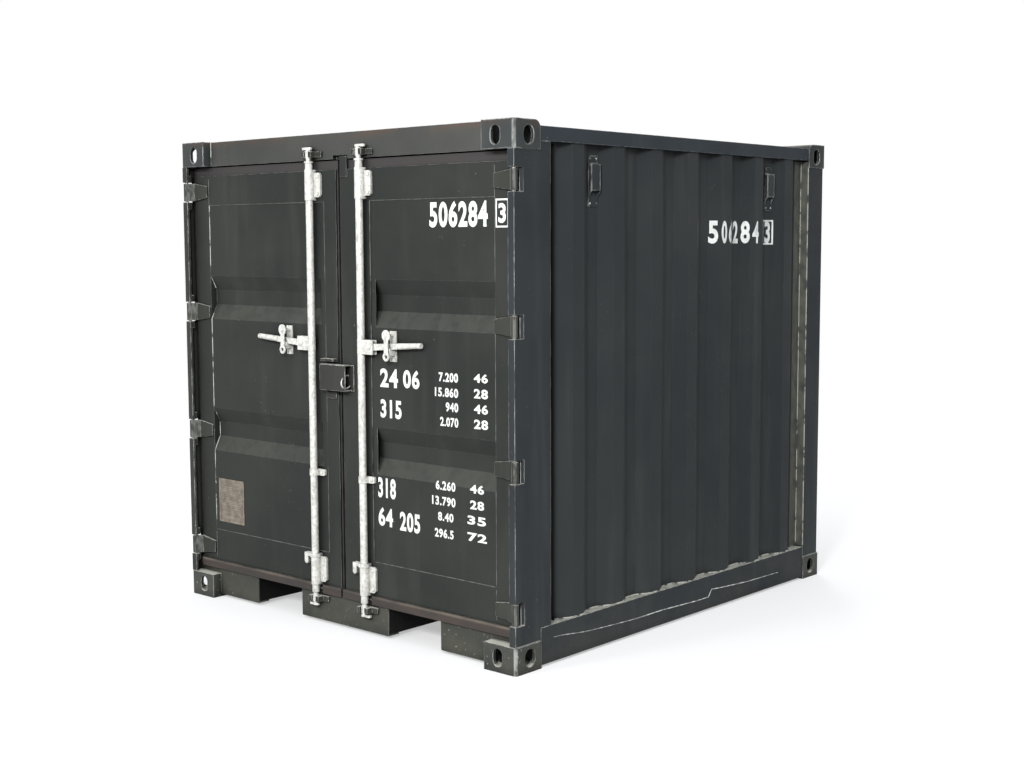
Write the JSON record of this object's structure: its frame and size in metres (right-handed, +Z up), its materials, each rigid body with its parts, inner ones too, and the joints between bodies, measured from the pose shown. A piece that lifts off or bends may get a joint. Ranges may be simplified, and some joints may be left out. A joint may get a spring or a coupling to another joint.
{
  "type": "shipping container",
  "caption": "Small steel shipping container with corrugated walls, corner castings, fork pockets and double doors with lock rods.",
  "frame": {"origin": "middle of the footprint, level with the undersides of the corner castings", "axes": "+X to the right across the door end, +Y from the doors towards the end wall, +Z up"},
  "size_m": [2.2, 2.438, 2.26],
  "materials": {
    "casting": "satin anthracite paint, scuffed",
    "frame": "satin anthracite paint",
    "panel": "satin anthracite paint",
    "door": "satin anthracite paint",
    "gasket": "matt black rubber, dusty",
    "hinge": "satin anthracite paint, worn edges",
    "pin": "bright steel",
    "gear": "galvanized steel",
    "floor": "oiled plywood",
    "plate": "dull blank plate",
    "vent": "satin anthracite paint"
  },
  "bodies": {
    "container": {"bottom_front_castings": "casting", "bottom_rear_castings": "casting", "top_front_castings": "casting", "top_rear_castings": "casting", "right_front_post": "frame", "left_front_post": "frame", "hinge_pins": "pin", "right_rear_post": "frame", "left_rear_post": "frame", "door_header": "frame", "door_sill": "frame", "rear_header": "frame", "rear_sill": "frame", "right_top_rail": "frame", "left_top_rail": "frame", "right_bottom_rail": "frame", "left_bottom_rail": "frame", "right_side_panel": "panel", "left_side_panel": "panel", "end_wall": "panel", "roof_panel": "panel", "floor_boards": "floor", "cross_members": "frame", "fork_tunnels": "frame", "keepers": "frame", "side_vents": "vent"},
    "right_door": {"right_door_frame": "door", "right_door_panel": "door", "right_door_gasket": "gasket", "right_hinge_blades": "hinge", "right_rod_guides": "gear", "right_handle_retainer": "gear", "lock_box": "door"},
    "left_door": {"left_door_frame": "door", "left_door_panel": "door", "left_door_gasket": "gasket", "left_hinge_blades": "hinge", "left_rod_guides": "gear", "left_handle_retainer": "gear", "lock_box_bar": "door", "data_plate": "plate"},
    "right_rod": {"right_lock_rod": "gear"},
    "right_lever": {"right_handle": "gear"},
    "right_catch_plate": {"right_catch": "gear"},
    "left_rod": {"left_lock_rod": "gear"},
    "left_lever": {"left_handle": "gear"},
    "left_catch_plate": {"left_catch": "gear"}
  },
  "joints": [
    {"name": "right_door_hinge", "type": "hinge", "parent": "container", "child": "right_door", "pos_m": [1.083, -1.202, 1.137], "axis": [0, 0, 1], "range_deg": [0, 265]},
    {"name": "right_rod_turn", "type": "hinge", "parent": "right_door", "child": "right_rod", "pos_m": [0.167, -1.194, 1.136], "axis": [0, 0, 1], "range_deg": [-110, 0]},
    {"name": "right_handle_lift", "type": "hinge", "parent": "right_rod", "child": "right_lever", "pos_m": [0.229, -1.194, 1.311], "axis": [0, -1, 0], "range_deg": [0, 10]},
    {"name": "right_catch_swing", "type": "hinge", "parent": "right_door", "child": "right_catch_plate", "pos_m": [0.35, -1.2155, 1.368], "axis": [0, -1, 0], "range_deg": [0, 100]},
    {"name": "left_door_hinge", "type": "hinge", "parent": "container", "child": "left_door", "pos_m": [-1.083, -1.202, 1.137], "axis": [0, 0, -1], "range_deg": [0, 265]},
    {"name": "left_rod_turn", "type": "hinge", "parent": "left_door", "child": "left_rod", "pos_m": [-0.167, -1.194, 1.136], "axis": [0, 0, -1], "range_deg": [-110, 0]},
    {"name": "left_handle_lift", "type": "hinge", "parent": "left_rod", "child": "left_lever", "pos_m": [-0.229, -1.194, 1.311], "axis": [0, 1, 0], "range_deg": [0, 10]},
    {"name": "left_catch_swing", "type": "hinge", "parent": "left_door", "child": "left_catch_plate", "pos_m": [-0.35, -1.2155, 1.368], "axis": [0, 1, 0], "range_deg": [0, 100]}
  ]
}
